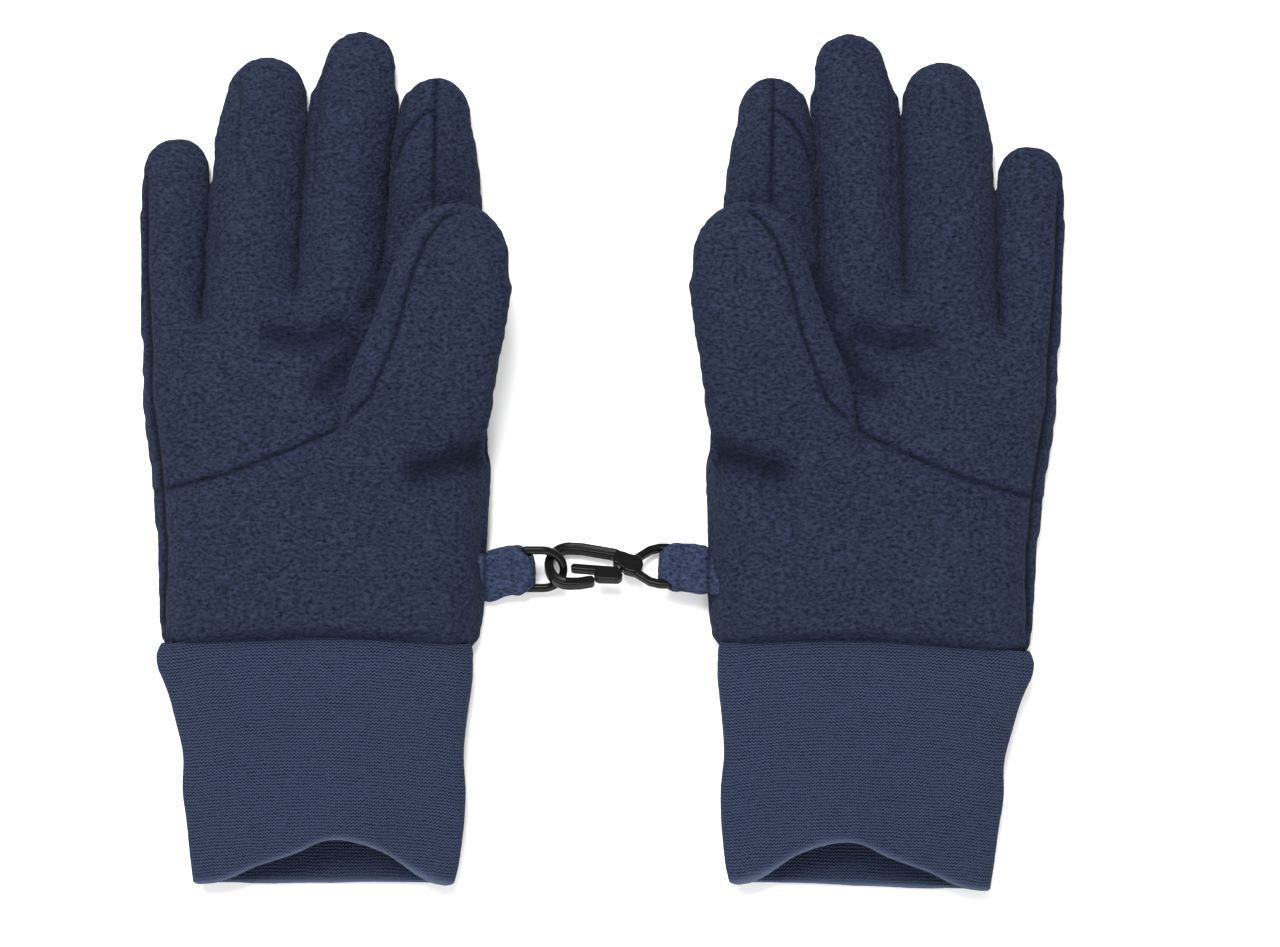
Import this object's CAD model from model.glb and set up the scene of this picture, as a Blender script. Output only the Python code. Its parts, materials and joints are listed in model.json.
import json
import math

import bpy
import numpy as np
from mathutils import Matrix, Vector


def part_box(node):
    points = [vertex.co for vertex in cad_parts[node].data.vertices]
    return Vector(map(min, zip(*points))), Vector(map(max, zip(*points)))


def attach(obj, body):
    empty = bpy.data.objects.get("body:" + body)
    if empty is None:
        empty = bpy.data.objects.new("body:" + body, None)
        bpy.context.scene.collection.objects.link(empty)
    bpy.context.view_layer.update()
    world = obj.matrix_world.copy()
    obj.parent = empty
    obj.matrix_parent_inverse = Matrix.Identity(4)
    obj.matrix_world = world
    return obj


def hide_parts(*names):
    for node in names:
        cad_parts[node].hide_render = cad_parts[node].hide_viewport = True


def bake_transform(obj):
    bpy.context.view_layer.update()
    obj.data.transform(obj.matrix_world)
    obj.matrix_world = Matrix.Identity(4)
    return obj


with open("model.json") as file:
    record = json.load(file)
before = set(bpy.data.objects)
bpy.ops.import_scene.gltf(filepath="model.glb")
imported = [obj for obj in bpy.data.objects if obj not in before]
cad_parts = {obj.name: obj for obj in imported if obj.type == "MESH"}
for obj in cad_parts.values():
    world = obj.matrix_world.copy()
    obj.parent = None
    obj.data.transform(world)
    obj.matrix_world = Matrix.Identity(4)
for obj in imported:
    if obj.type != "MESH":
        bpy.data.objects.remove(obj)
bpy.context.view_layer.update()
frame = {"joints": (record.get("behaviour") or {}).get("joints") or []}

# Child's fleece gloves joined by a glove clip.  Lengths are in millimetres until a mesh is made:
# each glove is shaped as a right-hand glove in its own frame, whose origin is the middle of the wrist
# seam with +Y towards the fingertips, and the left-hand glove is its mirror image.
MM = 0.001

# ---- places taken from the frame ------------------------------------------------------------

JOINTS = {joint["name"]: joint for joint in frame["joints"]}


def flat_angle(vector):
    return math.atan2(vector[1], vector[0])


cuff_low, cuff_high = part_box("right_cuff_outer")
RIGHT_ORIGIN = np.array([(cuff_low.x + cuff_high.x) / 2, cuff_high.y]) / MM
RING_BAR = np.array(JOINTS["ring_swing"]["pos_m"]) / MM
HOOK_BAR = np.array(JOINTS["left_glove_swing"]["pos_m"]) / MM
BAR_X, TAB_Y = RING_BAR[:2] - RIGHT_ORIGIN
CLIP_Z = RING_BAR[2]
right_bend = JOINTS["right_middle_bend"]["axis"]
left_bend = JOINTS["left_middle_bend"]["axis"]
LEFT_TURN = flat_angle(left_bend) + flat_angle(right_bend)


def to_world(points, side):
    """Points of the right-hand glove's frame in the row frame, in millimetres."""
    p = np.array(points, float).reshape(-1, 3)
    if side == "right":
        return p + [RIGHT_ORIGIN[0], RIGHT_ORIGIN[1], 0]
    x, y = BAR_X - p[:, 0], p[:, 1] - TAB_Y
    c, s = math.cos(LEFT_TURN), math.sin(LEFT_TURN)
    return np.stack([HOOK_BAR[0] + x * c - y * s, HOOK_BAR[1] + x * s + y * c, p[:, 2]], 1)


# ---- small helpers --------------------------------------------------------------------------

def smooth(low, high, value):
    """0 below low, 1 above high and a smooth step between them."""
    t = np.clip((value - low) / (high - low), 0, 1)
    return t * t * (3 - 2 * t)


def corner_weight(f, dx, dy, dz):
    """Share of one corner of a grid cell at the fractions f across the cell."""
    return np.abs(1 - dx - f[:, 0]) * np.abs(1 - dy - f[:, 1]) * np.abs(1 - dz - f[:, 2])


def noise(points, size, seed, stretch=(1, 1, 1)):
    """Smooth noise from -1 to 1 with bumps of the given size."""
    lattice = np.random.default_rng(seed).uniform(-1, 1, (32, 32, 32))
    p = points / (size * np.array(stretch, float)) + 1000.0
    cell = np.floor(p).astype(int)
    f = p - cell
    f = f * f * (3 - 2 * f)
    total = np.zeros(len(points))
    for dx in (0, 1):
        for dy in (0, 1):
            for dz in (0, 1):
                weight = corner_weight(f, dx, dy, dz)
                corner = lattice[(cell[:, 0] + dx) % 32, (cell[:, 1] + dy) % 32, (cell[:, 2] + dz) % 32]
                total += weight * corner
    return total


def polyline_distance(x, y, line):
    """Distance in the plane from each point to a polyline."""
    best = np.full(np.shape(x), 1e9)
    for (ax, ay), (bx, by) in zip(line[:-1], line[1:]):
        dx, dy = bx - ax, by - ay
        t = np.clip(((x - ax) * dx + (y - ay) * dy) / (dx * dx + dy * dy), 0, 1)
        best = np.minimum(best, np.hypot(x - ax - t * dx, y - ay - t * dy))
    return best


def curve_at(value, knots):
    """Smooth curve through (place, height) knots."""
    places, heights = np.array(knots, float).T
    t = np.clip(value, places[0], places[-1])
    i = np.clip(np.searchsorted(places, t) - 1, 0, len(places) - 2)
    slopes = np.gradient(heights, places)
    span = places[i + 1] - places[i]
    f = (t - places[i]) / span
    return ((2 * f**3 - 3 * f**2 + 1) * heights[i] + (f**3 - 2 * f**2 + f) * span * slopes[i]
            + (3 * f**2 - 2 * f**3) * heights[i + 1] + (f**3 - f**2) * span * slopes[i + 1])


def surface_net(field, origin, step):
    """Vertices and quads where a field on a grid goes through zero, positive being inside."""
    inside = field > 0
    corners = [(i, j, k) for i in (0, 1) for j in (0, 1) for k in (0, 1)]
    nx, ny, nz = field.shape
    count = np.zeros((nx - 1, ny - 1, nz - 1), np.int8)
    for i, j, k in corners:
        count += inside[i:nx - 1 + i, j:ny - 1 + j, k:nz - 1 + k]
    cells = np.argwhere((count > 0) & (count < 8))
    index = np.full(count.shape, -1, np.int64)
    index[tuple(cells.T)] = np.arange(len(cells))
    values = {c: field[cells[:, 0] + c[0], cells[:, 1] + c[1], cells[:, 2] + c[2]] for c in corners}
    total, hits = np.zeros((len(cells), 3)), np.zeros(len(cells))
    for a in corners:
        for axis in range(3):
            if a[axis]:
                continue
            b = tuple(v + (n == axis) for n, v in enumerate(a))
            fa, fb = values[a], values[b]
            crossing = (fa > 0) != (fb > 0)
            t = np.where(crossing, fa / np.where(crossing, fa - fb, 1), 0)
            point = np.array(a, float) + t[:, None] * np.eye(3)[axis]
            total += point * crossing[:, None]
            hits += crossing
    vertices = (cells + total / hits[:, None]) * step + origin
    quads = []
    for axis, (u, v) in enumerate(((1, 2), (2, 0), (0, 1))):
        low = [slice(None)] * 3
        high = [slice(None)] * 3
        low[axis], high[axis] = slice(0, -1), slice(1, None)
        change = inside[tuple(low)] != inside[tuple(high)]
        edges = np.argwhere(change)
        keep = ((edges[:, u] > 0) & (edges[:, u] < field.shape[u] - 1)
                & (edges[:, v] > 0) & (edges[:, v] < field.shape[v] - 1))
        edges = edges[keep]
        outward = inside[tuple(edges.T)]
        ring = []
        for du, dv in ((1, 1), (0, 1), (0, 0), (1, 0)):
            shifted = edges.copy()
            shifted[:, u] -= du
            shifted[:, v] -= dv
            ring.append(index[tuple(shifted.T)])
        quad = np.stack(ring, 1)
        quad[~outward] = quad[~outward][:, ::-1]
        quads.append(quad)
    return vertices, np.concatenate(quads)


def relax(vertices, quads, rounds, strength=0.5):
    """Evens out a mesh by moving each vertex towards the middle of its neighbours."""
    edges = np.concatenate([quads[:, [i, (i + 1) % 4]] for i in range(4)])
    edges = np.concatenate([edges, edges[:, ::-1]])
    number = np.bincount(edges[:, 0], minlength=len(vertices)).clip(1)
    for _ in range(rounds):
        mean = np.stack([np.bincount(edges[:, 0], vertices[edges[:, 1], n], len(vertices))
                         for n in range(3)], 1)
        vertices = vertices + strength * (mean / number[:, None] - vertices)
    return vertices


def vertex_normals(vertices, quads):
    a, b, c, d = (vertices[quads[:, i]] for i in range(4))
    face = np.cross(c - a, d - b)
    total = np.stack([sum(np.bincount(quads[:, i], face[:, n], len(vertices)) for i in range(4))
                      for n in range(3)], 1)
    return total / np.linalg.norm(total, axis=1).clip(1e-9)[:, None]


def make_piece(name, vertices, quads, normals, side=None, attributes=None):
    """Blender mesh of the faces given, with the whole surface's normals so that no join shows."""
    used, flat = np.unique(quads, return_inverse=True)
    faces = flat.reshape(quads.shape)
    points, directions = vertices[used], normals[used]
    if side:
        tips = to_world(points + directions, side)
        points = to_world(points, side)
        directions = tips - points
    if side == "left":
        faces = faces[:, ::-1]
    mesh = bpy.data.meshes.new(name)
    mesh.vertices.add(len(points))
    mesh.vertices.foreach_set("co", (points * MM).astype(np.float32).ravel())
    mesh.loops.add(faces.size)
    mesh.loops.foreach_set("vertex_index", faces.ravel().astype(np.int32))
    mesh.polygons.add(len(faces))
    mesh.polygons.foreach_set("loop_start", np.arange(0, faces.size, 4, dtype=np.int32))
    mesh.polygons.foreach_set("loop_total", np.full(len(faces), 4, np.int32))
    mesh.polygons.foreach_set("use_smooth", np.ones(len(faces), bool))
    for key, data in (attributes or {}).items():
        layer = mesh.attributes.new(key, "FLOAT", "POINT")
        layer.data.foreach_set("value", data[used].astype(np.float32))
    mesh.update()
    mesh.validate()
    mesh.normals_split_custom_set_from_vertices(directions.tolist())
    piece = bpy.data.objects.new(name, mesh)
    bpy.context.scene.collection.objects.link(piece)
    return piece


# ---- the hand's shape -----------------------------------------------------------------------

STEP = 0.65

# Each digit's middle line: x, y and half width from its root to the middle of its round tip
DIGIT_LINES = {
    "little": [(-36.6, 78, 8.0), (-36.5, 103, 8.4), (-36.1, 118.2, 7.5)],
    "ring": [(-17.2, 84, 11.6), (-15.9, 108, 11.4), (-14.8, 125, 11.0), (-13.6, 137.6, 9.2)],
    "middle": [(5.2, 88, 10.8), (6.6, 118, 10.5), (8.3, 135, 10.4), (10.0, 144.6, 8.5)],
    "index": [(27.8, 88, 12.0), (28.1, 111, 11.2), (28.0, 124, 10.2), (28.6, 133.4, 8.2)],
}
THUMB_LINE = [(19, 28, 15.5), (22.5, 46, 17.2), (26.2, 62, 17.4),
              (30.2, 76, 15.6), (33.5, 87, 14.3), (34.8, 95.6, 12.4)]
# Forks between the digits, each a line from its lowest point
FORKS = [[(-29.4, 80.5), (-28.2, 104), (-27.5, 114)],
         [(-5.6, 87.5), (-4.7, 108), (-2.9, 138)],
         [(15.7, 92.5), (16.9, 112), (17.6, 124), (18.9, 131), (20, 138)]]
# Where each finger's own piece begins, above its fork
ROOT_CUT = {"little": 84.5, "ring": 91, "middle": 96.2, "index": 96.2}
THUMB_CUT = 60.1
# Where the thumb comes free of the palm, and where its sides begin to blend into it below that
THUMB_FORK_Y = 57.5
THUMB_BLEND_Y = 44
THUMB_FILLET = 9
# Height of the thumb's middle as it rises over the palm: y, height
THUMB_RISE = [(20, 5), (36, 8.2), (48, 12.4), (58, 17.4), (66, 20.2), (76, 21), (110, 20.6)]
# The sides of the palm: y, x
PALM_LEFT = [(-16, -38.6), (1, -38.8), (8, -39.6), (26, -40.4),
             (41, -41.4), (56, -43.0), (71, -44.0), (96, -44.6)]
PALM_RIGHT = [(-16, 38.6), (1, 39.4), (8, 40.4), (22, 39.4), (38, 39.2),
              (50, 41.4), (62, 41.0), (76, 39.6), (96, 39.8)]
PALM_TOP = 88

# Half thickness that a wide stretch swells to, and the length over which it rises from a seam
HAND_SWELL = 8.7
THUMB_SWELL = 8.6
SOFT_LENGTH = 9.0
SWELL_ROUNDS = 900
# Height of the resting side above the floor, and the softness of its edge
REST_HEIGHT = 0.3
REST_SOFTNESS = 1.2
# Half the gap in the cloth between two fingers
SLIT_HALF = 0.3
# How much the rounding of the cloth draws the edges in
EDGE_ROUNDING = 0.4


def cone_distance(x, y, stations):
    """Signed distance to a chain of round-ended tapered strips, negative inside."""
    best = np.full(np.shape(x), 1e9)
    for (ax, ay, ar), (bx, by, br) in zip(stations[:-1], stations[1:]):
        dx, dy = bx - ax, by - ay
        t = np.clip(((x - ax) * dx + (y - ay) * dy) / (dx * dx + dy * dy), 0, 1)
        best = np.minimum(best, np.hypot(x - ax - t * dx, y - ay - t * dy) - ar - t * (br - ar))
    return best


def palm_distance(x, y):
    sides = np.maximum(curve_at(y, PALM_LEFT) - x, x - curve_at(y, PALM_RIGHT))
    return np.maximum(sides, y - PALM_TOP)


def swell(inside):
    """How far a skin sewn along an outline swells: 0 at its edge, and towards 1 in its widest parts."""
    u = np.zeros(inside.shape)
    loss = (STEP / SOFT_LENGTH) ** 2
    for _ in range(SWELL_ROUNDS):
        around = np.zeros_like(u)
        around[1:-1, 1:-1] = u[2:, 1:-1] + u[:-2, 1:-1] + u[1:-1, 2:] + u[1:-1, :-2]
        u = np.where(inside, (around + loss) / (4 + loss), 0)
    return u


def spread(values, rounds):
    """Blurs a field on the grid."""
    v = values.copy()
    for _ in range(rounds):
        v[1:-1, :] = 0.25 * v[2:, :] + 0.5 * v[1:-1, :] + 0.25 * v[:-2, :]
        v[:, 1:-1] = 0.25 * v[:, 2:] + 0.5 * v[:, 1:-1] + 0.25 * v[:, :-2]
    return v


grid_x = np.arange(-52, 53, STEP)
grid_y = np.arange(-13, 159, STEP)
grid_z = np.arange(-2, 32, STEP)
GRID_ORIGIN = np.array([grid_x[0], grid_y[0], grid_z[0]])
X2, Y2 = np.meshgrid(grid_x, grid_y, indexing="ij")


def hand_fields():
    """Half thickness and mid height of the hand and of the thumb over the plane."""
    digits = {name: cone_distance(X2, Y2, line) for name, line in DIGIT_LINES.items()}
    outline = np.minimum(palm_distance(X2, Y2), np.min(list(digits.values()), 0)) - EDGE_ROUNDING
    for fork in FORKS:
        outline = np.maximum(outline, SLIT_HALF - polyline_distance(X2, Y2, fork))
    thumb_outline = cone_distance(X2, Y2, THUMB_LINE) - EDGE_ROUNDING
    thumb_cover = smooth(4, -6, thumb_outline) * smooth(40, 62, Y2)
    hollow = (np.exp(-(((X2 + 3) / 15) ** 2 + ((Y2 - 77) / 6.5) ** 2))
              + 0.9 * np.exp(-(((X2 - 6) / 7) ** 2 + ((Y2 - 66) / 12) ** 2)))
    hand = HAND_SWELL * np.sqrt(swell(outline < 0)) * (1 - 0.26 * thumb_cover) * (1 - 0.17 * hollow)
    hand *= 1 - 0.20 * smooth(7, -3, Y2)
    thumb = THUMB_SWELL * np.sqrt(swell(thumb_outline < 0))
    hand_mid = np.maximum(spread(hand, 60) * 1.05 + 0.35, 3.2)
    thumb_mid = curve_at(Y2, THUMB_RISE)
    return outline, thumb_outline, hand, thumb, hand_mid, thumb_mid, digits


(OUTLINE, THUMB_OUTLINE, HAND_HALF, THUMB_HALF, HAND_MID, THUMB_MID, DIGITS2) = hand_fields()


def solid_field(outline, half, mid):
    """Distance-like field of a swollen shape, positive inside and flat where it rests on the floor."""
    z = grid_z[None, None, :]
    value = (half**2)[:, :, None] - (z - mid[:, :, None]) ** 2
    value = value - 2.0 * np.maximum(outline, 0)[:, :, None]
    gx, gy, gz = np.gradient(value, STEP)
    value = value / np.sqrt(gx**2 + gy**2 + gz**2 + 4.0)
    ground = z - REST_HEIGHT
    h = np.maximum(REST_SOFTNESS - np.abs(value - ground), 0) / REST_SOFTNESS
    return np.minimum(value, ground) - h * h * REST_SOFTNESS * 0.25


def join_fields(a, b, radius):
    """Union of two fields with a fillet."""
    r = np.maximum(radius, 1e-3)
    h = np.maximum(r - np.abs(a - b), 0) / r
    return np.maximum(a, b) + h * h * r * 0.25


FIELD_HAND = solid_field(OUTLINE, HAND_HALF, HAND_MID)
FIELD_THUMB = solid_field(THUMB_OUTLINE, THUMB_HALF, THUMB_MID)


def sample(field, points):
    """Value of a field at points, blended between the grid's places."""
    p = (points - GRID_ORIGIN) / STEP
    cell = np.clip(np.floor(p).astype(int), 0, np.array(field.shape) - 2)
    f = np.clip(p - cell, 0, 1)
    total = np.zeros(len(points))
    for dx in (0, 1):
        for dy in (0, 1):
            for dz in (0, 1):
                weight = corner_weight(f, dx, dy, dz)
                total += weight * field[cell[:, 0] + dx, cell[:, 1] + dy, cell[:, 2] + dz]
    return total


def sample2(field, points):
    """Value of a field over the plane at points, whatever their height."""
    flat = points.copy()
    flat[:, 2] = GRID_ORIGIN[2]
    return sample(field[:, :, None].repeat(2, 2), flat)


# Seams that show on the front, in the plane of the glove
PALM_SEAM = [(-42, 37.4), (-37, 38.6), (-22.5, 42), (-8.5, 47.2), (3.8, 52.4), (9, 56)]
THUMB_SEAM = [(9, 56), (14.2, 60.5), (17, 67), (20.6, 76),
              (23.8, 88), (27.6, 98.5), (31.6, 104.2), (36, 106.4)]
INDEX_SEAMS = [[(28.9, 141), (29, 133), (28.8, 108)],
               [(28.9, 133.2), (24.5, 131), (20.8, 126.5), (18.2, 119.5)]]
RING_SEAM = [(-19.6, 146), (-19.4, 134), (-20.6, 120)]
MIDDLE_SEAM = [(1.4, 144), (-0.4, 138), (-1.0, 128), (-1.4, 112)]
# Each seam with the depth of its groove
PALM_LINES = [(PALM_SEAM, 0.62), (INDEX_SEAMS[0], 0.6), (INDEX_SEAMS[1], 0.6),
              (RING_SEAM, 0.2), (MIDDLE_SEAM, 0.25)]
THUMB_LINES = [(THUMB_SEAM, 0.62)]
# Soft folds of the palm side
HEEL_CREASE = [(26, 42.5), (33, 44.5), (44, 47)]
LOWER_CREASE = [(12, 30), (30, 37)]
# Each fold's line, depth and reach
PALM_FOLDS = [([(-10, 77), (-2, 75.5), (5, 77.5)], 1.2, 3.4),
              ([(2, 64), (6, 68), (9, 74)], 1.0, 3.6),
              ([(13, 84), (17, 92)], 0.8, 3)]
FORK_RIDGE = [(-24, 84), (-6, 89), (12, 90)]
# Half width of the strips between the fingers
GUSSET_HALF = 1.6
WRIST_MID_Z = 6.2
# Half width of a seam's groove
GROOVE_HALF = 0.62


def wrist_line(x):
    """Height of the wrist seam on the front, which curves up in the middle."""
    return 2.3 - 2.6 * (x / 38) ** 2


def finger_axis_x(name, y):
    line = np.array(DIGIT_LINES[name])
    return np.interp(y, line[:, 1], line[:, 0])


def outer_seam_x(y):
    """The seam along the outer edge of the hand, where the back panel wraps round to the front."""
    strip = [(-10, 0.6), (6, 1.0), (40, 2.6), (70, 1.9), (100, 1.2), (116, 1.6)]
    return curve_at(y, PALM_LEFT) + curve_at(y, strip)


def shape_cloth(vertices, quads, thumb=False):
    """Wrinkles, seam grooves and the lumpy pile, pressed into the smooth shape along its normals.

    Gives the moved vertices and how dark the seams and creases make the cloth.
    """
    v = relax(vertices, quads, 4)
    normals = vertex_normals(v, quads)
    x, y, z = v.T
    up = smooth(0.0, 0.5, normals[:, 2])
    side_on = smooth(0.45, 0.1, np.abs(normals[:, 2]))
    shift = 0.6 * noise(v, 19, 3) + (0.14 + 0.18 * up) * noise(v, 8, 4, (1.6, 1, 1))
    shift += 0.09 * noise(v, 3.4, 5)
    shift += smooth(26, 4, y) * up * 0.32 * noise(v, 3.4, 6, (4.5, 1, 3))
    crush = 1.0 * np.exp(-polyline_distance(x, y, HEEL_CREASE) ** 2 / 15.0) * up
    shift -= 2.5 * crush
    shift -= 0.7 * np.exp(-polyline_distance(x, y, LOWER_CREASE) ** 2 / 16.0) * up
    folds = () if thumb else PALM_FOLDS
    for line, depth, reach in folds:
        fold = np.exp(-polyline_distance(x, y, line) ** 2 / reach**2) * up
        shift -= depth * fold
        crush = np.maximum(crush, 0.75 * fold)
    shift += 0.5 * np.exp(-polyline_distance(x, y, FORK_RIDGE) ** 2 / 30.0) * up
    groove = np.zeros(len(v))
    for line, depth in (THUMB_LINES if thumb else PALM_LINES):
        d = polyline_distance(x, y, line)
        fade = smooth(0, 3, np.hypot(x - line[-1][0], y - line[-1][1]))
        groove = np.maximum(groove, depth * np.exp(-(d / GROOVE_HALF) ** 2) * (0.35 + 0.65 * fade))
        shift += up * 0.22 * depth * np.exp(-((d - 2.2) / 1.3) ** 2)
    if not thumb:
        d = np.abs(x - outer_seam_x(y))
        edge_seam = 0.75 * np.exp(-(d / 0.7) ** 2) * smooth(124, 108, y) * smooth(2, 8, y)
        groove = np.maximum(groove, edge_seam)
        mid = sample2(HAND_MID, v)
        for fork in FORKS:
            near = smooth(7.5, 5.5, polyline_distance(x, y, fork))
            near *= smooth(fork[0][1] + 1, fork[0][1] + 4, y)
            edge = np.exp(-((np.abs(z - mid) - GUSSET_HALF) / 0.5) ** 2)
            shift -= 0.4 * edge * near * side_on
        touch = np.min([polyline_distance(x, y, fork) for fork in FORKS], 0)
        shift += 0.55 * smooth(2.4, 0.7, touch) * side_on
        crush = np.maximum(crush, 0.3 * smooth(1.9, 0.7, touch))
    shift -= groove * up
    shift += (0.05 + 0.05 * up) * noise(v, 1.25, 8, (1.7, 1, 1)) + 0.06 * noise(v, 0.8, 9)
    moved = v + normals * shift[:, None]
    moved[:, 2] = np.maximum(moved[:, 2], 0.05 + 0.12 * (noise(v, 1.3, 10) + 1))
    return moved, np.clip(groove * up / 0.6 + crush, 0, 1)


def wrist_pinch(v):
    """Draws the last few millimetres at the wrist in to the seam."""
    line = np.where(v[:, 2] > WRIST_MID_Z, wrist_line(v[:, 0]), -0.4)
    pull = smooth(2.6, -0.6, v[:, 1] - line)
    out = v.copy()
    out[:, 0] = v[:, 0] * (1 - 0.035 * pull)
    out[:, 2] = WRIST_MID_Z + (v[:, 2] - WRIST_MID_Z) * (1 - 0.42 * pull * pull)
    return out


# How far past its outline a finger's own surface may reach, and where that surface begins
FINGER_MARGIN = 1.2
FINGERS_FROM_Y = 70


def hand_surfaces(lanes):
    """Smooth surfaces, each as vertices and quads: the glove with its thumb, the hand without it, the
    thumb alone and each finger alone."""
    y = grid_y[None, :, None]
    radius = THUMB_FILLET * smooth(THUMB_FORK_Y, THUMB_BLEND_Y, y)
    joined = np.where(y < THUMB_FORK_Y, join_fields(FIELD_HAND, FIELD_THUMB, radius),
                      np.maximum(FIELD_HAND, FIELD_THUMB))
    fields = {"joined": joined, "hand": FIELD_HAND, "thumb": FIELD_THUMB}
    surfaces = {name: surface_net(field, GRID_ORIGIN, STEP) for name, field in fields.items()}
    for name, lane in lanes.items():
        own = FINGER_MARGIN - DIGITS2[name]
        masked = np.minimum(FIELD_HAND, np.minimum(lane, own)[:, :, None])
        j = int((FINGERS_FROM_Y - grid_y[0]) / STEP)
        origin = GRID_ORIGIN + [0, j * STEP, 0]
        surfaces[name] = surface_net(masked[:, j:, :], origin, STEP)
    return surfaces


def finger_lanes():
    """For each finger, a field over the plane that is positive in its own lane between the forks."""
    names = ["little", "ring", "middle", "index"]
    forks = [None, *FORKS, None]
    lanes = {}
    for n, name in enumerate(names):
        lane = np.full(X2.shape, 50.0)
        if forks[n] is not None:
            lane = np.minimum(lane, X2 - fork_x(forks[n], Y2))
        if forks[n + 1] is not None:
            lane = np.minimum(lane, fork_x(forks[n + 1], Y2) - X2)
        lanes[name] = lane
    return lanes


def fork_x(fork, y):
    """Where a fork's line is at the height y."""
    places = np.array(fork)
    return np.interp(y, places[:, 1], places[:, 0])


# ---- materials ------------------------------------------------------------------------------

def new_material(name):
    material = bpy.data.materials.new(name)
    material.use_nodes = True
    nodes, links = material.node_tree.nodes, material.node_tree.links
    return material, nodes, links, nodes["Principled BSDF"]


def mix_colour(nodes, links, factor, first, second):
    mix = nodes.new("ShaderNodeMix")
    mix.data_type = "RGBA"
    for socket, value in ((mix.inputs[0], factor), (mix.inputs[6], first), (mix.inputs[7], second)):
        if hasattr(value, "links"):
            links.new(value, socket)
        else:
            socket.default_value = value
    return mix.outputs[2]


def texture(nodes, links, kind, scale, stretch=(1, 1, 1), **settings):
    """A procedural texture in the object's own space, where one unit is a metre."""
    place = nodes.new("ShaderNodeTexCoord")
    mapping = nodes.new("ShaderNodeMapping")
    mapping.inputs["Scale"].default_value = stretch
    links.new(place.outputs["Object"], mapping.inputs["Vector"])
    node = nodes.new(kind)
    node.inputs["Scale"].default_value = scale
    for key, value in settings.items():
        node.inputs[key].default_value = value
    links.new(mapping.outputs["Vector"], node.inputs["Vector"])
    return node


def maths(nodes, links, operation, a, b=None):
    node = nodes.new("ShaderNodeMath")
    node.operation = operation
    for socket, value in zip(node.inputs, (a, b)):
        if value is None:
            continue
        if hasattr(value, "links"):
            links.new(value, socket)
        else:
            socket.default_value = value
    return node.outputs[0]


# Colours between the tufts, on them, and deep in the seams
FLEECE_HOLLOW = (0.0029, 0.0041, 0.0092)
FLEECE_CREST = (0.0226, 0.0304, 0.0605)
FLEECE_SEAM = (0.0022, 0.003, 0.0066, 1)
# Colours between the stitches, on them, and along the worn fold of the hem
KNIT_DEEP = ((0.0008, 0.0012, 0.0034, 1), (0.0018, 0.0026, 0.0064, 1))
KNIT_YARN = (0.0285, 0.0395, 0.0775, 1)
KNIT_RIM = (0.085, 0.112, 0.175, 1)
PLASTIC_COLOURS = ((0.0035, 0.0035, 0.0037, 1), (0.007, 0.007, 0.0075, 1))
SHEEN_TINT = (0.6, 0.72, 1.0, 1)


def fleece_material(name, pale):
    """Napped polar fleece: short curly pile in loose rows, darker between the tufts and in the seams."""
    material, nodes, links, shader = new_material(name)
    tuft = texture(nodes, links, "ShaderNodeTexNoise", 1200, (0.72, 1.12, 1), Detail=3.0, Roughness=0.66)
    curl = texture(nodes, links, "ShaderNodeTexVoronoi", 700, (0.7, 1.2, 1))
    cloud = texture(nodes, links, "ShaderNodeTexNoise", 60, Detail=2.0)
    seam = nodes.new("ShaderNodeAttribute")
    seam.attribute_name = "seam"
    contrast = nodes.new("ShaderNodeMapRange")
    contrast.inputs["From Min"].default_value = 0.3
    contrast.inputs["From Max"].default_value = 0.72
    links.new(tuft.outputs["Fac"], contrast.inputs["Value"])
    hollow, crest = ((*(c * pale for c in colour), 1) for colour in (FLEECE_HOLLOW, FLEECE_CREST))
    colour = mix_colour(nodes, links, contrast.outputs[0], hollow, crest)
    lighter = mix_colour(nodes, links, cloud.outputs["Fac"], (0.9, 0.9, 0.9, 1), (1.1, 1.1, 1.1, 1))
    product = nodes.new("ShaderNodeMix")
    product.data_type = "RGBA"
    product.blend_type = "MULTIPLY"
    product.inputs[0].default_value = 1
    links.new(colour, product.inputs[6])
    links.new(lighter, product.inputs[7])
    final = mix_colour(nodes, links, maths(nodes, links, "MULTIPLY", seam.outputs["Fac"], 0.75),
                       product.outputs[2], FLEECE_SEAM)
    links.new(final, shader.inputs["Base Color"])
    height = maths(nodes, links, "ADD", tuft.outputs["Fac"],
                   maths(nodes, links, "MULTIPLY", curl.outputs["Distance"], 0.5))
    bump = nodes.new("ShaderNodeBump")
    bump.inputs["Strength"].default_value = 0.85
    bump.inputs["Distance"].default_value = 0.0007
    links.new(height, bump.inputs["Height"])
    links.new(bump.outputs["Normal"], shader.inputs["Normal"])
    shader.inputs["Roughness"].default_value = 0.95
    shader.inputs["Specular IOR Level"].default_value = 0.06
    shader.inputs["Sheen Weight"].default_value = 0.03
    shader.inputs["Sheen Roughness"].default_value = 0.4
    shader.inputs["Sheen Tint"].default_value = SHEEN_TINT
    return material


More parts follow.
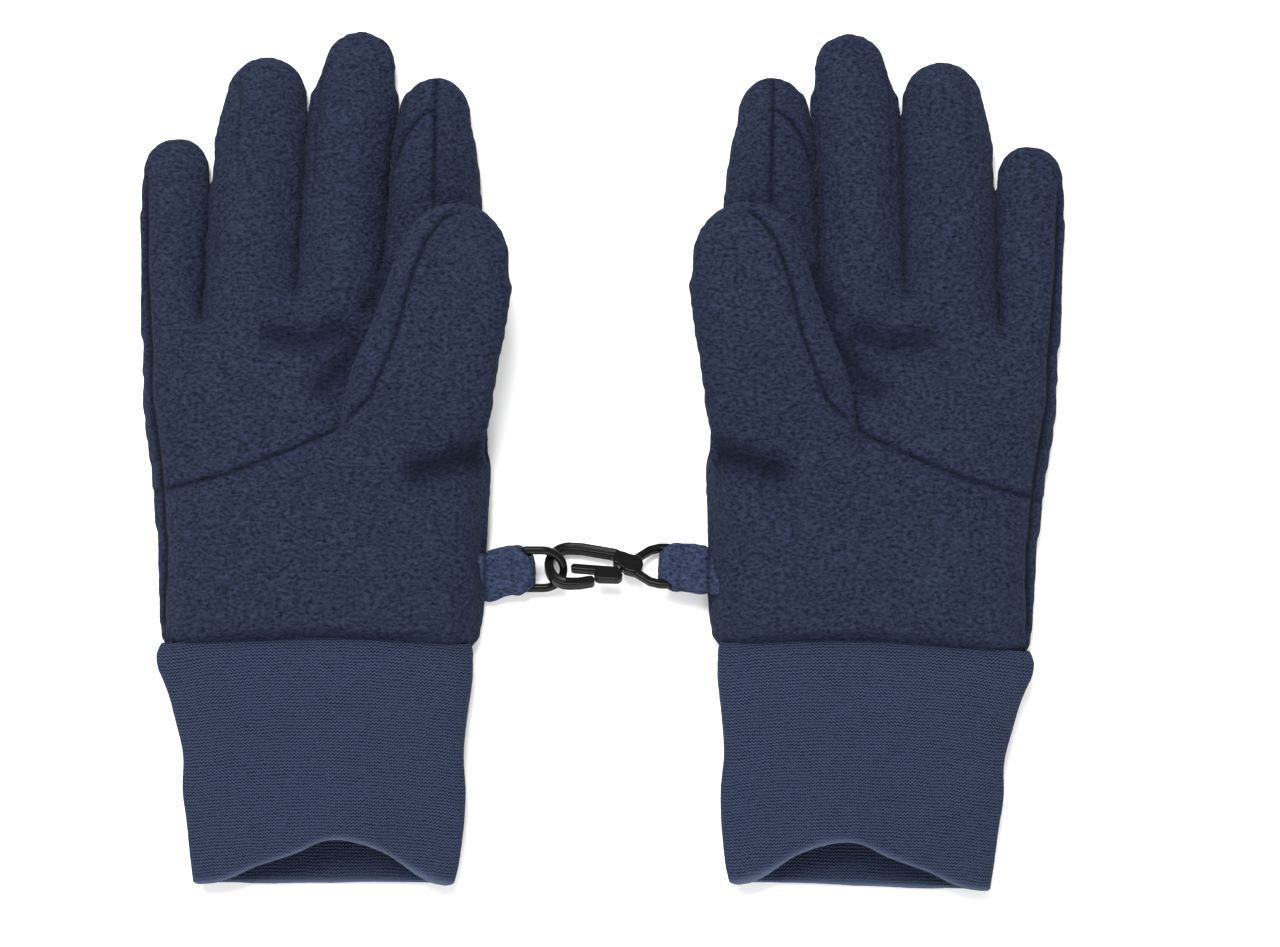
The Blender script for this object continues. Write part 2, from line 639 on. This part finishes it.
def knit_material():
    """Fine jersey knit: rows of small V stitches, from the lengths stored on the cuff's mesh."""
    material, nodes, links, shader = new_material("navy_knit")
    along = nodes.new("ShaderNodeAttribute")
    along.attribute_name = "course"
    around = nodes.new("ShaderNodeAttribute")
    around.attribute_name = "wale"
    leg = maths(nodes, links, "PINGPONG", around.outputs["Fac"], 0.5)
    slack = texture(nodes, links, "ShaderNodeTexNoise", 170, Detail=3.0)
    wander = maths(nodes, links, "MULTIPLY", slack.outputs["Fac"], 1.5)
    slant = maths(nodes, links, "ADD", maths(nodes, links, "ADD", along.outputs["Fac"], wander), leg)
    row = maths(nodes, links, "SINE", maths(nodes, links, "MULTIPLY", slant, 2 * math.pi))
    column = maths(nodes, links, "SINE", maths(nodes, links, "MULTIPLY", leg, 2 * math.pi))
    height = maths(nodes, links, "ADD", maths(nodes, links, "MULTIPLY", row, 0.62),
                   maths(nodes, links, "MULTIPLY", column, 0.5))
    yarn = texture(nodes, links, "ShaderNodeTexNoise", 1250, Detail=2.0)
    total = maths(nodes, links, "ADD", height, yarn.outputs["Fac"])
    spread_out = nodes.new("ShaderNodeMapRange")
    spread_out.inputs["From Min"].default_value = 0.15
    spread_out.inputs["From Max"].default_value = 1.1
    links.new(total, spread_out.inputs["Value"])
    cloud = texture(nodes, links, "ShaderNodeTexNoise", 45, Detail=2.0)
    dark = mix_colour(nodes, links, cloud.outputs["Fac"], *KNIT_DEEP)
    colour = mix_colour(nodes, links, spread_out.outputs[0], dark, KNIT_YARN)
    rim = nodes.new("ShaderNodeAttribute")
    rim.attribute_name = "rim"
    colour = mix_colour(nodes, links, maths(nodes, links, "MULTIPLY", rim.outputs["Fac"], 0.8),
                        colour, KNIT_RIM)
    links.new(colour, shader.inputs["Base Color"])
    bump = nodes.new("ShaderNodeBump")
    bump.inputs["Strength"].default_value = 0.6
    bump.inputs["Distance"].default_value = 0.0003
    links.new(total, bump.inputs["Height"])
    links.new(bump.outputs["Normal"], shader.inputs["Normal"])
    shader.inputs["Roughness"].default_value = 0.88
    shader.inputs["Specular IOR Level"].default_value = 0.06
    shader.inputs["Sheen Weight"].default_value = 0.03
    shader.inputs["Sheen Roughness"].default_value = 0.4
    shader.inputs["Sheen Tint"].default_value = SHEEN_TINT
    return material


def plastic_material():
    """Black moulded acetal with a satin skin and fine handling marks."""
    material, nodes, links, shader = new_material("black_plastic")
    grain = texture(nodes, links, "ShaderNodeTexNoise", 2600, Detail=3.0)
    scuff = texture(nodes, links, "ShaderNodeTexNoise", 420, (1, 5, 1), Detail=4.0)
    colour = mix_colour(nodes, links, scuff.outputs["Fac"], *PLASTIC_COLOURS)
    links.new(colour, shader.inputs["Base Color"])
    rough = nodes.new("ShaderNodeMapRange")
    rough.inputs["To Min"].default_value = 0.07
    rough.inputs["To Max"].default_value = 0.15
    links.new(scuff.outputs["Fac"], rough.inputs["Value"])
    links.new(rough.outputs[0], shader.inputs["Roughness"])
    bump = nodes.new("ShaderNodeBump")
    shader.inputs["Specular IOR Level"].default_value = 0.09
    shader.inputs["IOR"].default_value = 1.4
    bump.inputs["Strength"].default_value = 0.1
    bump.inputs["Distance"].default_value = 0.0001
    links.new(grain.outputs["Fac"], bump.inputs["Height"])
    links.new(bump.outputs["Normal"], shader.inputs["Normal"])
    return material


FLEECE = fleece_material("navy_fleece", 1)
STRAP_FLEECE = fleece_material("navy_fleece_strap", 1.75)
KNIT = knit_material()
PLASTIC = plastic_material()


def dress(piece, material, slot, *nodes):
    piece.data.materials.append(material)
    if nodes:
        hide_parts(*nodes)


# ---- building the hand's pieces -------------------------------------------------------------

def shape_surfaces(surfaces):
    """Each surface shaped as cloth: its moved vertices, quads, normals and darkness of its seams."""
    shaped = {}
    for name, (vertices, quads) in surfaces.items():
        moved, seam = shape_cloth(vertices, quads, thumb=(name == "thumb"))
        if name == "joined":
            # this surface takes the thumb's seams where it is the thumb's
            as_thumb, thumb_seam = shape_cloth(vertices, quads, thumb=True)
            share = (sample(FIELD_THUMB, vertices) > sample(FIELD_HAND, vertices)).astype(float)
            share = relax(np.stack([share] * 3, 1), quads, 6)[:, 0] * smooth(50, 56, vertices[:, 1])
            moved = moved * (1 - share[:, None]) + as_thumb * share[:, None]
            seam = seam * (1 - share) + thumb_seam * share
        moved = wrist_pinch(moved)
        shaped[name] = (moved, quads, vertex_normals(moved, quads), seam)
    return shaped


def cut_parts(surfaces, lanes):
    """Which faces of which surface make each sewn piece: (piece, surface, mask of its faces)."""

    def centres(name):
        return surfaces[name][0][surfaces[name][1]].mean(1)

    # palm, back, heel and forks: everything that stays with the glove
    centre = centres("joined")
    thumb_face = sample(FIELD_THUMB, centre) > sample(FIELD_HAND, centre)
    lowest = np.where(centre[:, 2] > WRIST_MID_Z, wrist_line(centre[:, 0]) - 0.9, -1.3)
    lower = (centre[:, 1] < THUMB_CUT) & (centre[:, 1] > lowest)
    parts = glove_parts("joined", lower, centre, thumb_face)
    centre = centres("hand")
    upper = centre[:, 1] >= THUMB_CUT
    for name, cut in ROOT_CUT.items():
        lane = sample2(lanes[name], centre) > 0
        upper &= ~(lane & (centre[:, 1] >= cut))
    parts += glove_parts("hand", upper, centre, np.zeros(len(centre), bool))
    # the moving end of the thumb
    centre = centres("thumb")
    keep = centre[:, 1] >= THUMB_CUT
    x_seam = np.interp(centre[:, 1], *np.array([(y, x) for x, y in THUMB_SEAM]).T)
    front = (centre[:, 0] > x_seam) | (centre[:, 1] > THUMB_SEAM[-1][1])
    front &= centre[:, 2] > sample2(THUMB_MID, centre) - 1.5
    parts.append(("thumb_end_front", "thumb", keep & front))
    parts.append(("thumb_end_back", "thumb", keep & ~front))
    # the moving ends of the fingers, each with the strip of its sides that faces another finger
    for name, cut in ROOT_CUT.items():
        centre = centres(name)
        mid = sample2(HAND_MID, centre)
        keep = centre[:, 1] >= cut
        across = centre[:, 0] - finger_axis_x(name, centre[:, 1])
        gusset = np.abs(centre[:, 2] - mid) < GUSSET_HALF
        gusset &= (across > 0) if name == "little" else (across < 0) if name == "index" else True
        front = (centre[:, 2] > mid) & ~gusset
        if name == "little":
            front &= centre[:, 0] > outer_seam_x(centre[:, 1])
        parts.append((f"{name}_end_front", name, keep & front))
        parts.append((f"{name}_end_back", name, keep & ~front & ~gusset))
        parts.append((f"{name}_gusset", name, keep & gusset))
    return parts


def glove_parts(surface, keep, centre, thumb_face):
    """Splits the faces that stay with the glove into its sewn panels."""
    x, y, z = centre.T
    mid = sample2(HAND_MID, centre)
    seam_y = np.interp(x, *np.array(PALM_SEAM).T)
    front = (z > mid + 0.3) & (x > outer_seam_x(y))
    heel = thumb_face | (y < seam_y)
    if surface == "joined":
        heel |= (x > PALM_SEAM[-1][0]) & (y < THUMB_FORK_Y + 0.1)
    fork_near = [(polyline_distance(x, y, fork) < 3.0) & (np.abs(z - mid) < 1.8)
                 & (y > fork[0][1] - 2.5) for fork in FORKS]
    near = np.any(fork_near, 0)
    panels = [("heel_thumb_panel", surface, keep & front & heel & ~near),
              ("palm_panel", surface, keep & front & ~heel & ~near),
              ("back_panel", surface, keep & ~front & ~near & ~thumb_face),
              ("thumb_back_panel", surface, keep & thumb_face & ~front)]
    for name, mask in zip(("ring_little", "middle_ring", "index_middle"), fork_near):
        panels.append((f"fourchette_{name}", surface, keep & mask))
    return panels


# Distance over which the cloth bends, before and after a knuckle
BEND_REACH = {"thumb": 13, "little": 11, "ring": 11, "middle": 11, "index": 11}


def turn_at_knuckle(piece, digit):
    """Makes a digit's piece bend smoothly across its knuckle."""
    line = THUMB_LINE if digit == "thumb" else DIGIT_LINES[digit]
    way = np.array(line[-1][:2]) - np.array(line[-3][:2])
    way *= BEND_REACH[digit] / np.linalg.norm(way)
    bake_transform(piece)


def place_hand_pieces(side, shaped, parts):
    """Makes one glove's fleece pieces and says what each one moves with."""
    panels = {}
    for name, surface, mask in parts:
        if surface in ("joined", "hand") and mask.any():
            vertices, quads, normals, seam = shaped[surface]
            half = make_piece(f"{side}_{name}_{surface}", vertices, quads[mask], normals, side,
                              {"seam": seam})
            panels.setdefault(name, []).append(half)
    for name, halves in sorted(panels.items()):
        panel = weld(halves, f"{side}_{name}_fleece")
        dress(panel, FLEECE, "fleece", f"{side}_{name}")
        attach(panel, f"{side}_glove")
    for name, surface, mask in parts:
        if surface in ("joined", "hand") or not mask.any():
            continue
        vertices, quads, normals, seam = shaped[surface]
        piece = make_piece(f"{side}_{name}_fleece", vertices, quads[mask], normals, side,
                           {"seam": seam})
        nodes = [] if name.endswith("gusset") else [f"{side}_{name}"]
        dress(piece, FLEECE, "fleece", *nodes)
        turn_at_knuckle(piece, surface)


def weld(objects, name):
    """Joins meshes into one object, keeping their normals."""
    base = objects[0]
    if len(objects) > 1:
        with bpy.context.temp_override(active_object=base, object=base,
                                       selected_editable_objects=objects):
            bpy.ops.object.join()
    base.name = name
    base.data.name = name
    return base


# ---- the cuff -------------------------------------------------------------------------------

CUFF_LENGTH = (cuff_high.y - cuff_low.y) / MM
# Sides and top of the cuff: y, then x or height
CUFF_LEFT = [(-60, -31), (-50, -32.3), (-38, -33.3), (-28, -33.5), (-20, -35.1),
             (-12, -37.6), (-5, -39.6), (-1.5, -39.6), (2, -38)]
CUFF_RIGHT = [(-60, 33.6), (-50, 35.8), (-38, 36.9), (-28, 36.7), (-20, 36.8),
              (-12, 37.5), (-5, 38.2), (-1.5, 38.3), (2, 37.2)]
CUFF_TOP = [(-60, 9.0), (-45, 10.6), (-25, 11.2), (-8, 12.0), (-3.5, 11.8), (-1, 10.6), (0.5, 9.2)]
# The front hem's rise over the back hem: x, rise
ARCH = [(-31, 0), (-26, 0.6), (-16, 4.2), (-5, 8.3), (1, 10.9), (4, 11.4),
        (9, 10.7), (15, 8.2), (20, 5.2), (28, 1.2), (32, 0)]
# Height of a row of stitches and width of a stitch
COURSE = 0.8
WALE = 0.9
# Distance from the outer face of the double knit to its inner face
KNIT_THICKNESS = 1.7
CUFF_COLUMNS = 440
OUTER_ROWS = 110
LINING_ROWS = 80
# Where the lining begins, as a share of the way from the wrist to the hem
LINING_FROM = 0.08
HEM_LIFT = 4.2
# Cloth is kept this far over the floor
LOWEST = 0.06


def arch(x):
    """How far the front hem is drawn up above the back hem."""
    return curve_at(x, ARCH)


def cuff_point(around, along, inset):
    """Points of the cuff's tube: around goes once round it, along goes from the wrist to the hem."""
    a = 2 * math.pi * around
    side_way = np.sign(np.cos(a)) * np.abs(np.cos(a)) ** 0.72
    up_way = np.sign(np.sin(a)) * np.abs(np.sin(a)) ** 0.62
    front = smooth(0.0, 0.5, np.sin(a))
    x_top, x_hem = 38 * side_way, 0.5 + 33 * side_way
    top = front * (wrist_line(x_top) - 0.3)
    y = 0.4 + top - along * (CUFF_LENGTH - 0.2 + top - front * arch(x_hem))
    level = y - top * (1 - along)
    left, right, height = (curve_at(level, knots) for knots in (CUFF_LEFT, CUFF_RIGHT, CUFF_TOP))
    half = (right - left) / 2 - inset
    x = (left + right) / 2 + half * side_way
    raise_hem = HEM_LIFT * smooth(0.5, 1.0, along) * np.exp(-((x - 4) / 12.5) ** 2)
    raise_hem = raise_hem * np.clip(up_way, 0, 1)
    z = height / 2 + 0.35 + (height / 2 - inset) * up_way + raise_hem
    return np.stack([x, y, z], -1)


def cuff_grid(rows, start, inset):
    """One layer of the cuff as a grid of points: around it, then from the wrist to the hem."""
    around = np.linspace(0, 1, CUFF_COLUMNS, endpoint=False)[:, None]
    along = np.linspace(start, 1, rows)[None, :]
    return cuff_point(*np.broadcast_arrays(around, along), inset)


def cuff_layers():
    """Outer layer and lining, which meet in the hem's rounded fold."""
    r = KNIT_THICKNESS / 2
    outer = cuff_grid(OUTER_ROWS, 0.0, 0)
    inner = cuff_grid(LINING_ROWS, LINING_FROM, KNIT_THICKNESS)
    middle_hem = cuff_grid(2, 1.0, r)[:, -1]
    towards = outer[:, -1] - middle_hem
    down = np.array([0, -1.0, 0])
    turns = np.linspace(0, math.pi / 2, 6)[1:]
    fold = [middle_hem + towards * math.cos(t) + down * r * math.sin(t) for t in turns]
    fold_in = [middle_hem - towards * math.cos(t) + down * r * math.sin(t) for t in turns[::-1]]
    return (np.concatenate([outer, np.stack(fold, 1)], 1),
            np.concatenate([np.stack(fold_in, 1), inner[:, ::-1]], 1))


def grid_quads(columns, rows):
    i, j = np.meshgrid(np.arange(columns), np.arange(rows - 1), indexing="ij")
    after = (i + 1) % columns
    corners = [i * rows + j, i * rows + j + 1, after * rows + j + 1, after * rows + j]
    return np.stack(corners, -1).reshape(-1, 4)


def arc_lengths(points):
    """Length along each grid line, in both directions, for the knit's rows and columns."""
    along = np.concatenate([np.zeros((points.shape[0], 1)),
                            np.cumsum(np.linalg.norm(np.diff(points, axis=1), axis=2), 1)], 1)
    step = np.linalg.norm(np.roll(points, -1, 0) - points, axis=2).mean(1)
    around = np.concatenate([[0], np.cumsum(step)[:-1]])[:, None] * np.ones((1, points.shape[1]))
    return along, around


def build_cuff(side, layers):
    """Both layers of one cuff, wrinkled and gathered over the arch of the hem."""
    for points, name in zip(layers, ("cuff_outer", "cuff_lining")):
        along, around = arc_lengths(points)
        flat = points.reshape(-1, 3)
        quads = grid_quads(*points.shape[:2])
        normals = vertex_normals(flat, quads)
        x, y, _ = flat.T
        wave = 0.7 * noise(flat, 15, 20) + 0.5 * noise(flat, 9, 21, (1.5, 1, 1))
        wave += 0.12 * noise(flat, 4, 22, (1, 1.6, 1))
        wave *= smooth(0, -6, y) * 0.7 + 0.3
        pull = np.exp(-((x - 3) / 10) ** 2) * smooth(-25, -45, y) * smooth(0.1, 0.6, normals[:, 2])
        wave += 0.22 * np.sin((x - 3) * 1.15) * pull
        wave += 0.035 * noise(flat, 0.7, 23)
        if name == "cuff_lining":
            wave *= 0.5
        moved = flat + normals * wave[:, None]
        moved[:, 2] = np.maximum(moved[:, 2], LOWEST)
        normals = vertex_normals(moved, quads)
        count = round(around[-1, 0] / WALE)
        wale = around / (around[-1, 0] + np.linalg.norm(points[0, 0] - points[-1, 0])) * count
        rim = along if name == "cuff_lining" else along[:, -1:] - along
        attributes = {"course": (along / COURSE).ravel(), "wale": wale.ravel(),
                      "rim": np.exp(-(rim / 1.25) ** 2).ravel()}
        piece = make_piece(f"{side}_{name}_knit", moved, quads, normals, side, attributes)
        dress(piece, KNIT, "knit", f"{side}_{name}")
        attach(piece, f"{side}_glove")


# ---- the tabs and the clip ------------------------------------------------------------------

def tilt_of(joint):
    axis = JOINTS[joint]["axis"]
    return math.atan2(axis[2], axis[1])


TAB_STEP = 0.5
TAB_HALF_WIDTH = 6.6
TAB_BORE_R = 1.15
# How far each tab's root lies below its bar in the picture's plane
TAB_SAG = {"right": 2.3, "left": 0.6}


def build_tab(side):
    """Folded fleece strap sewn into the side seam and looped round the clip's bar."""
    tilt = tilt_of("ring_swing" if side == "right" else "left_glove_swing")
    low, high = np.array([-13.5, -9.5, -4.5]), np.array([4, 8.5, 4.5])
    xs, ys, zs = (np.arange(a, b, TAB_STEP) for a, b in zip(low, high))
    x, y, z = np.meshgrid(xs, ys, zs, indexing="ij")
    y = y + 0.3 + TAB_SAG[side] * smooth(-3, -12, x)
    width = TAB_HALF_WIDTH - 2.3 * smooth(-2.2, 2.2, x)
    thick = curve_at(x, [(-13, 1.7), (-10, 1.8), (-5, 2.25), (-1, 2.75), (1.2, 2.6), (2.4, 1.8)])
    edge = np.maximum(np.abs(y) - width, x - 2.4)
    rim = np.sqrt(np.clip(np.abs(y) - width + 1.5, 0, None) ** 2 + np.clip(x - 0.6, 0, None) ** 2)
    field = 1 - np.sqrt((rim / 1.75) ** 2 + (z / thick) ** 2)
    field = np.minimum(field, -edge * 0.4 + 0.5)
    bore = np.hypot(x, z) - TAB_BORE_R
    field = np.minimum(field, bore * 0.6)
    vertices, quads = surface_net(field, low, TAB_STEP)
    vertices = relax(vertices, quads, 4)
    normals = vertex_normals(vertices, quads)
    away = np.hypot(vertices[:, 0], vertices[:, 2]) > 1.9
    shift = 0.32 * noise(vertices, 4, 31) + 0.12 * noise(vertices, 1.2, 32, (1.7, 1, 1))
    shift += 0.08 * noise(vertices, 0.8, 33)
    seam = np.exp(-((vertices[:, 0] + 10.2) / 0.55) ** 2)
    stitch = np.exp(-((vertices[:, 0] + 3.4) / 0.5) ** 2) * 0.5
    shift -= 0.5 * seam + 0.3 * stitch
    vertices = vertices + normals * (shift * away)[:, None]
    c, s = math.cos(tilt), math.sin(tilt)
    turned = np.stack([vertices[:, 0], vertices[:, 1] * c - vertices[:, 2] * s,
                       vertices[:, 1] * s + vertices[:, 2] * c], 1)
    turned += [BAR_X, TAB_Y, CLIP_Z]
    turned[:, 2] = np.maximum(turned[:, 2], 0.1)
    normals = vertex_normals(turned, quads)
    piece = make_piece(f"{side}_clip_tab_fleece", turned, quads, normals, side,
                       {"seam": seam * 0.8 + stitch * 0.4})
    dress(piece, STRAP_FLEECE, "fleece", f"{side}_clip_tab")
    if side == "right":
        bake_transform(piece)
    else:
        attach(piece, "left_glove")


# ---- the clip's moulded pieces --------------------------------------------------------------

# The hook's outline lies in its own plane, with u from the middle of its round end towards its bar
BIGHT_R = 5.2
LIMB_HALF = 1.15
HOOK_HALF_T = 1.4
GATE_HALF_T = 1.3
CLIP_STEP = 0.17
# The ring is a D: its straight bar, and its round end about a middle at RING_BEND
RING_HALF_WIDTH = 5.2
RING_BEND = 4.2
RING_LIMB_R = 1.03
BAR_R = 1.1
BAR_HALF = 5.4
HOOK_LINK = np.array(JOINTS["hook_swing"]["pos_m"]) / MM
BAR_U = HOOK_BAR[0] - HOOK_LINK[0] - BIGHT_R
NECK_U = BAR_U - 8.6


def arc_points(centre, radius, start, end, steps=18):
    angles = np.radians(np.linspace(start, end, steps))
    return [(centre[0] + radius * math.cos(a), centre[1] + radius * math.sin(a)) for a in angles]


def bevelled(flat, n, half, bevel=0.35):
    """Field of a flat moulding: flat is the distance inside its outline, n that from its middle plane."""
    du = np.maximum(bevel - flat, 0)
    dn = np.maximum(np.abs(n) - half + bevel, 0)
    return bevel - np.hypot(du, dn)


def limb(u, v, path, half):
    return half - polyline_distance(u, v, path)


def clip_mesh(name, field, low, body, origin, tilt):
    """Moulded plastic piece from its field in the clip's own tilted plane."""
    vertices, quads = surface_net(field, np.array(low, float), CLIP_STEP)
    vertices = relax(vertices, quads, 2, 0.4)
    c, s = math.cos(tilt), math.sin(tilt)
    turned = np.stack([vertices[:, 0], vertices[:, 1] * c - vertices[:, 2] * s,
                       vertices[:, 1] * s + vertices[:, 2] * c], 1) + origin
    piece = make_piece(name, turned, quads, vertex_normals(turned, quads))
    dress(piece, PLASTIC, "plastic", body)
    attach(piece, body)


def clip_grid(low, high):
    axes = [np.arange(a, b, CLIP_STEP) for a, b in zip(low, high)]
    return np.meshgrid(*axes, indexing="ij")


def build_clip():
    """The ring, the hook with its forked end and bar, and the gate with its heel."""
    ring_tilt, hook_tilt = tilt_of("ring_swing"), tilt_of("left_glove_swing")
    low, high = (-2, -7.5, -1.7), (11.5, 7.5, 1.7)
    u, v, n = clip_grid(low, high)
    bow = arc_points((RING_BEND, 0), RING_HALF_WIDTH, -90, 90)
    path = [(0, -RING_HALF_WIDTH), *bow, (0, RING_HALF_WIDTH), (0, -RING_HALF_WIDTH)]
    across = polyline_distance(u, v, path)
    field = RING_LIMB_R - (across**2.4 + np.abs(n) ** 2.4) ** (1 / 2.4)
    clip_mesh("clip_ring_moulding", field, low, "clip_ring", RING_BAR, ring_tilt)

    centre = HOOK_LINK + [BIGHT_R, 0, 0]
    low, high = (-7.5, -8, -2.2), (BAR_U + 3, 8, 2.2)
    u, v, n = clip_grid(low, high)
    rail = [(5.1, -4.6), (2.4, -5.15), *arc_points((0, 0), BIGHT_R, 268, 95),
            (3, 4.95), (11.2, 3.3), (13, 2.2)]
    block = limb(u, v, [(13.2, 0.9), (NECK_U, 0)], 2.5)
    # room for the gate at rest and when it is pressed in
    gate_room = -np.maximum(limb(u, v, [(4, -1.9), (11.9, -2.7)], 1.85),
                            limb(u, v, [(6, 0.7), (11.1, -1.2)], 1.35))
    flat = join_fields(limb(u, v, rail, LIMB_HALF), np.minimum(block, gate_room), 0.8)
    channel = 0.22 * np.exp(-(polyline_distance(u, v, rail[3:-1]) / 0.28) ** 2)
    field = bevelled(flat, n, HOOK_HALF_T - channel)
    arms = np.full(u.shape, -9.0)
    for way in (-1, 1):
        arm = [(NECK_U - 0.2, way * 1.3), (NECK_U + 1.9, way * 2.9), (NECK_U + 4.2, way * 4.6),
               (BAR_U - 2, way * 5.3), (BAR_U, way * 5.3)]
        arms = np.maximum(arms, limb(u, v, arm, 0.92))
    field = join_fields(field, bevelled(arms, n, 1.1, 0.45), 0.5)
    bar = np.minimum(BAR_R - np.hypot(u - BAR_U, n), BAR_HALF - np.abs(v))
    clip_mesh("clip_hook_moulding", np.maximum(field, bar), low, "clip_hook", centre, hook_tilt)

    low, high = (-1.5, -6.5, -2), (BAR_U - 8, 2.5, 2)
    u, v, n = clip_grid(low, high)
    tongue = limb(u, v, [(1.1, -0.75), (7, -1.3), (11.6, -1.75)], 0.86)
    heel = limb(u, v, [(7.5, -3.0), (11.6, -3.15)], 1.5)
    gate = bevelled(join_fields(tongue, heel, 0.6), n, GATE_HALF_T, 0.3)
    clip_mesh("clip_gate_moulding", gate, low, "clip_gate", centre, hook_tilt)


# ---- light, camera and floor ----------------------------------------------------------------

# Lengths in metres
FLOOR_HALF = 4
FLOOR_WHITE = 0.93
SKY = 0.55
# Each soft light: name, place, size, power
LIGHTS = (("key", (-0.3, 0.85, 1.35), 0.8, 46), ("front", (0.15, -1.25, 0.75), 1.0, 20))
LENS = 85
CAMERA_TARGET = Vector((0.0096, -0.0036, 0.006))
CAMERA_ELEVATION = math.radians(88)
CAMERA_DISTANCE = 0.752


def build_stage():
    """White floor, plain soft studio light and a camera that looks down as the photograph does."""
    scene = bpy.context.scene
    mesh = bpy.data.meshes.new("floor")
    corners = [(x * FLOOR_HALF, y * FLOOR_HALF, 0) for x, y in ((-1, -1), (1, -1), (1, 1), (-1, 1))]
    mesh.from_pydata(corners, [], [(0, 1, 2, 3)])
    floor = bpy.data.objects.new("floor", mesh)
    scene.collection.objects.link(floor)
    material, nodes, links, shader = new_material("white_floor")
    shader.inputs["Base Color"].default_value = (FLOOR_WHITE, FLOOR_WHITE, FLOOR_WHITE, 1)
    shader.inputs["Roughness"].default_value = 0.9
    floor.data.materials.append(material)
    world = bpy.data.worlds.new("studio")
    world.use_nodes = True
    world.node_tree.nodes["Background"].inputs[0].default_value = (1, 1, 1, 1)
    world.node_tree.nodes["Background"].inputs[1].default_value = SKY
    scene.world = world
    for name, place, size, power in LIGHTS:
        light = bpy.data.lights.new(name, "AREA")
        light.size = size
        light.energy = power
        lamp = bpy.data.objects.new(name, light)
        lamp.location = place
        lamp.rotation_euler = (Vector((0, 0, 0)) - Vector(place)).to_track_quat("-Z", "Y").to_euler()
        scene.collection.objects.link(lamp)
    camera = bpy.data.cameras.new("camera")
    camera.lens = LENS
    camera.sensor_width = 36
    view = bpy.data.objects.new("camera", camera)
    away = Vector((0, -math.cos(CAMERA_ELEVATION), math.sin(CAMERA_ELEVATION)))
    view.location = CAMERA_TARGET + CAMERA_DISTANCE * away
    view.rotation_euler = (-away).to_track_quat("-Z", "Y").to_euler()
    scene.collection.objects.link(view)
    scene.camera = view
    scene.view_settings.view_transform = "Standard"


lanes = finger_lanes()
surfaces = hand_surfaces(lanes)
shaped, parts = shape_surfaces(surfaces), cut_parts(surfaces, lanes)
layers = cuff_layers()
for side in ("right", "left"):
    place_hand_pieces(side, shaped, parts)
    build_cuff(side, layers)
    build_tab(side)
build_clip()
build_stage()
